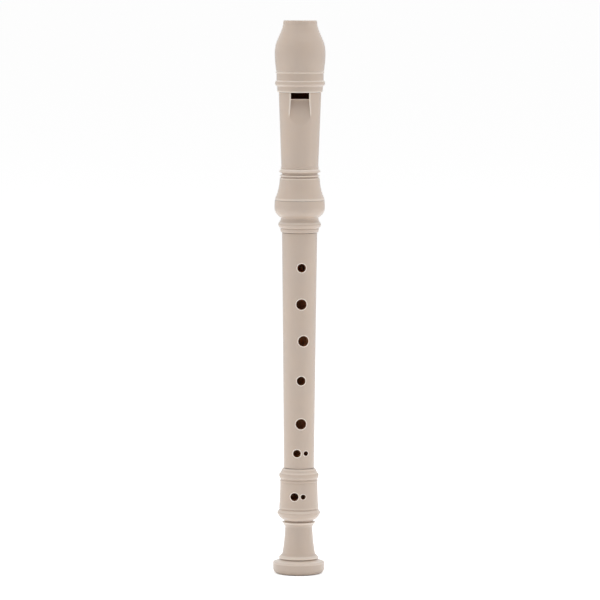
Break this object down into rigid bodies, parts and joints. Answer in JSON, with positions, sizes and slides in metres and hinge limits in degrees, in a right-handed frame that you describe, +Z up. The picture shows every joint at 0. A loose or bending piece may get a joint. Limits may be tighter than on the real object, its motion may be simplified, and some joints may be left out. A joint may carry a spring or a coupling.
{
  "type": "descant recorder",
  "caption": "Descant recorder in ivory plastic: beaked head with windway, window and labium, turned rings and bulb, tapered middle joint with finger holes, and a flanged foot.",
  "frame": {"origin": "centre of the flat ring under the foot, on which the recorder stands", "axes": "+Z up along the bore from the foot to the beak, -Y out of the front where the window and the finger holes are, +X to the right seen from the front"},
  "size_m": [0.0308, 0.0308, 0.33],
  "materials": {
    "ivory_plastic": "satin ivory, moulded"
  },
  "bodies": {
    "middle": {"middle_joint": "ivory_plastic"},
    "head": {"mouthpiece": "ivory_plastic", "windway_block": "ivory_plastic", "head_barrel": "ivory_plastic", "head_socket_ring": "ivory_plastic"},
    "foot": {"foot_joint": "ivory_plastic", "foot_base_ring": "ivory_plastic"}
  },
  "joints": [
    {"name": "head_slide", "type": "slide", "parent": "middle", "child": "head", "axis": [0, 0, 1], "range_m": [0, 0.02]},
    {"name": "foot_turn", "type": "hinge", "parent": "middle", "child": "foot", "pos_m": [0, 0, 0.0639], "axis": [0, 0, 1], "continuous": true}
  ]
}
